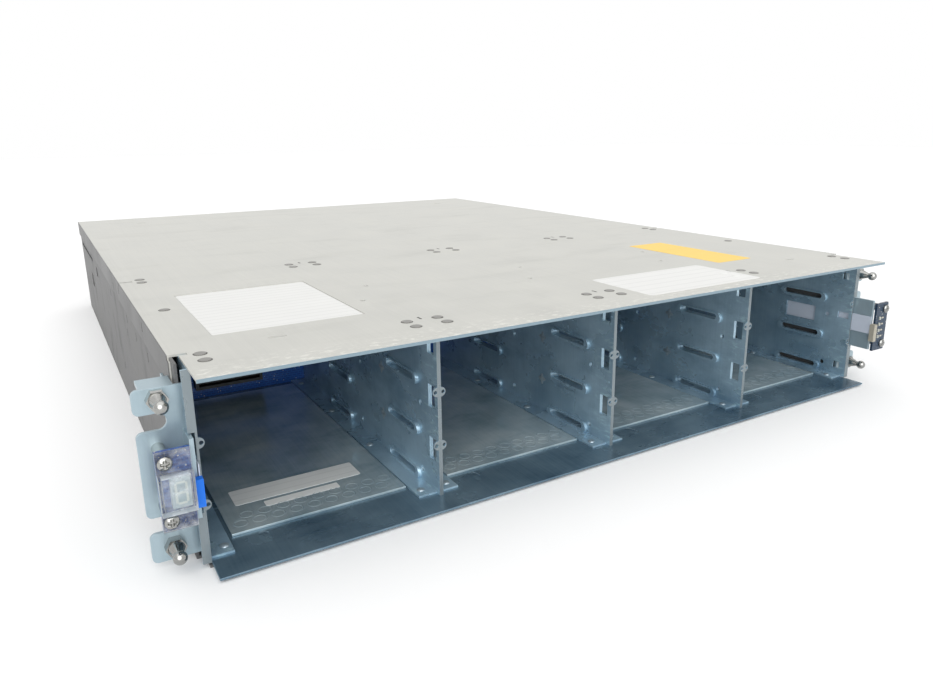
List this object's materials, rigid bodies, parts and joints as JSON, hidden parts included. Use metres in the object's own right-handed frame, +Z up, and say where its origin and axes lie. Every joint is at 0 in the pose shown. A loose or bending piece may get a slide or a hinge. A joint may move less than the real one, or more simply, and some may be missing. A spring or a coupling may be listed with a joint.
{
  "type": "rack storage enclosure",
  "caption": "Flat rack enclosure of bright sheet steel with open drive bays in columns at the front, notched rack ears, and slide-out power and controller modules at the back.",
  "frame": {"origin": "underside, midway between the sides, in the plane where the ear flanges meet the rack posts", "axes": "+X to the right seen from the front, +Y towards the rear, +Z up"},
  "size_m": [0.479, 0.6045, 0.0887],
  "materials": {
    "galvanised_steel": "zinc-coated sheet, softly mirrored, with fine grain",
    "cover_steel": "zinc-coated sheet with a faint grain and handling marks",
    "liner_steel": "bright zinc-coated thin sheet",
    "ear_zinc": "blue-bright zinc plate",
    "nickel": "polished nickel plate",
    "module_steel": "zinc-coated sheet",
    "blue_board": "blue solder mask on a circuit board",
    "green_board": "green solder mask on a circuit board",
    "digit_face": "pale grey digit block",
    "clear_lens": "clear moulded plastic",
    "ribbon_film": "white flat cable film",
    "ribbon_tab": "bright blue stiffener",
    "black_plastic": "black moulded plastic",
    "lever_plastic": "dark grey moulded plastic"
  },
  "bodies": {
    "chassis": {"ball_studs": "nickel", "base_pan": "galvanised_steel", "bay_floor": "galvanised_steel", "bay_liner_plates": "liner_steel", "board_screws": "nickel", "board_standoffs": "nickel", "cage_wall_left": "galvanised_steel", "cage_wall_right": "galvanised_steel", "display_board": "blue_board", "display_digit": "digit_face", "display_lens": "clear_lens", "divider_1_left_sheet": "galvanised_steel", "divider_1_right_sheet": "galvanised_steel", "divider_2_left_sheet": "galvanised_steel", "divider_2_right_sheet": "galvanised_steel", "divider_3_left_sheet": "galvanised_steel", "divider_3_right_sheet": "galvanised_steel", "drive_connectors": "black_plastic", "indicator_board": "blue_board", "left_ear": "ear_zinc", "left_ribbon": "ribbon_film", "midplane_board": "blue_board", "module_headers": "black_plastic", "module_partitions": "galvanised_steel", "ribbon_sockets": "black_plastic", "ribbon_tabs": "ribbon_tab", "right_ear": "ear_zinc", "right_ribbon": "ribbon_film", "top_cover": "cover_steel", "controller_shelf": "galvanised_steel"},
    "power_module_left": {"power_module_left_case": "module_steel", "power_module_left_back_panel": "module_steel", "power_module_left_inlet": "black_plastic", "power_module_left_fan_frames": "black_plastic", "power_module_left_connector": "black_plastic"},
    "power_module_left_switch": {"power_module_left_switch": "black_plastic"},
    "power_module_left_lever": {"power_module_left_lever": "lever_plastic"},
    "power_module_left_lower_impeller": {"power_module_left_lower_impeller": "black_plastic"},
    "power_module_left_upper_impeller": {"power_module_left_upper_impeller": "black_plastic"},
    "power_module_right": {"power_module_right_case": "module_steel", "power_module_right_back_panel": "module_steel", "power_module_right_inlet": "black_plastic", "power_module_right_fan_frames": "black_plastic", "power_module_right_connector": "black_plastic"},
    "power_module_right_switch": {"power_module_right_switch": "black_plastic"},
    "power_module_right_lever": {"power_module_right_lever": "lever_plastic"},
    "power_module_right_lower_impeller": {"power_module_right_lower_impeller": "black_plastic"},
    "power_module_right_upper_impeller": {"power_module_right_upper_impeller": "black_plastic"},
    "controller_lower": {"controller_lower_case": "module_steel", "controller_lower_board": "green_board", "controller_lower_ports": "nickel", "controller_lower_connector": "black_plastic"},
    "controller_lower_left_lever": {"controller_lower_left_lever": "lever_plastic"},
    "controller_lower_right_lever": {"controller_lower_right_lever": "lever_plastic"},
    "controller_upper": {"controller_upper_case": "module_steel", "controller_upper_board": "green_board", "controller_upper_ports": "nickel", "controller_upper_connector": "black_plastic"},
    "controller_upper_left_lever": {"controller_upper_left_lever": "lever_plastic"},
    "controller_upper_right_lever": {"controller_upper_right_lever": "lever_plastic"}
  },
  "joints": [
    {"name": "power_module_left_slide", "type": "slide", "parent": "chassis", "child": "power_module_left", "axis": [0, 1, 0], "range_m": [0, 0.34]},
    {"name": "power_module_left_switch_rock", "type": "hinge", "parent": "power_module_left", "child": "power_module_left_switch", "pos_m": [-0.2019, 0.5585, 0.051], "axis": [1, 0, 0], "range_deg": [0, 28]},
    {"name": "power_module_left_lever_swing", "type": "hinge", "parent": "power_module_left", "child": "power_module_left_lever", "pos_m": [-0.1729, 0.568, 0.0105], "axis": [-1, 0, 0], "range_deg": [0, 75]},
    {"name": "power_module_left_lower_fan_spin", "type": "hinge", "parent": "power_module_left", "child": "power_module_left_lower_impeller", "pos_m": [-0.1429, 0.5508, 0.0226], "axis": [0, 1, 0], "continuous": true},
    {"name": "power_module_left_upper_fan_spin", "type": "hinge", "parent": "power_module_left", "child": "power_module_left_upper_impeller", "pos_m": [-0.1429, 0.5508, 0.066], "axis": [0, 1, 0], "continuous": true},
    {"name": "power_module_right_slide", "type": "slide", "parent": "chassis", "child": "power_module_right", "axis": [0, 1, 0], "range_m": [0, 0.34]},
    {"name": "power_module_right_switch_rock", "type": "hinge", "parent": "power_module_right", "child": "power_module_right_switch", "pos_m": [0.2019, 0.5585, 0.051], "axis": [1, 0, 0], "range_deg": [0, 28]},
    {"name": "power_module_right_lever_swing", "type": "hinge", "parent": "power_module_right", "child": "power_module_right_lever", "pos_m": [0.1729, 0.568, 0.0105], "axis": [-1, 0, 0], "range_deg": [0, 75]},
    {"name": "power_module_right_lower_fan_spin", "type": "hinge", "parent": "power_module_right", "child": "power_module_right_lower_impeller", "pos_m": [0.1429, 0.5508, 0.0226], "axis": [0, 1, 0], "continuous": true},
    {"name": "power_module_right_upper_fan_spin", "type": "hinge", "parent": "power_module_right", "child": "power_module_right_upper_impeller", "pos_m": [0.1429, 0.5508, 0.066], "axis": [0, 1, 0], "continuous": true},
    {"name": "controller_lower_slide", "type": "slide", "parent": "chassis", "child": "controller_lower", "axis": [0, 1, 0], "range_m": [0, 0.34]},
    {"name": "controller_lower_left_lever_swing", "type": "hinge", "parent": "controller_lower", "child": "controller_lower_left_lever", "pos_m": [-0.1051, 0.568, 0.0075], "axis": [-1, 0, 0], "range_deg": [0, 75]},
    {"name": "controller_lower_right_lever_swing", "type": "hinge", "parent": "controller_lower", "child": "controller_lower_right_lever", "pos_m": [0.1051, 0.568, 0.0075], "axis": [-1, 0, 0], "range_deg": [0, 75]},
    {"name": "controller_upper_slide", "type": "slide", "parent": "chassis", "child": "controller_upper", "axis": [0, 1, 0], "range_m": [0, 0.34]},
    {"name": "controller_upper_left_lever_swing", "type": "hinge", "parent": "controller_upper", "child": "controller_upper_left_lever", "pos_m": [-0.1051, 0.568, 0.0511], "axis": [-1, 0, 0], "range_deg": [0, 75]},
    {"name": "controller_upper_right_lever_swing", "type": "hinge", "parent": "controller_upper", "child": "controller_upper_right_lever", "pos_m": [0.1051, 0.568, 0.0511], "axis": [-1, 0, 0], "range_deg": [0, 75]}
  ]
}
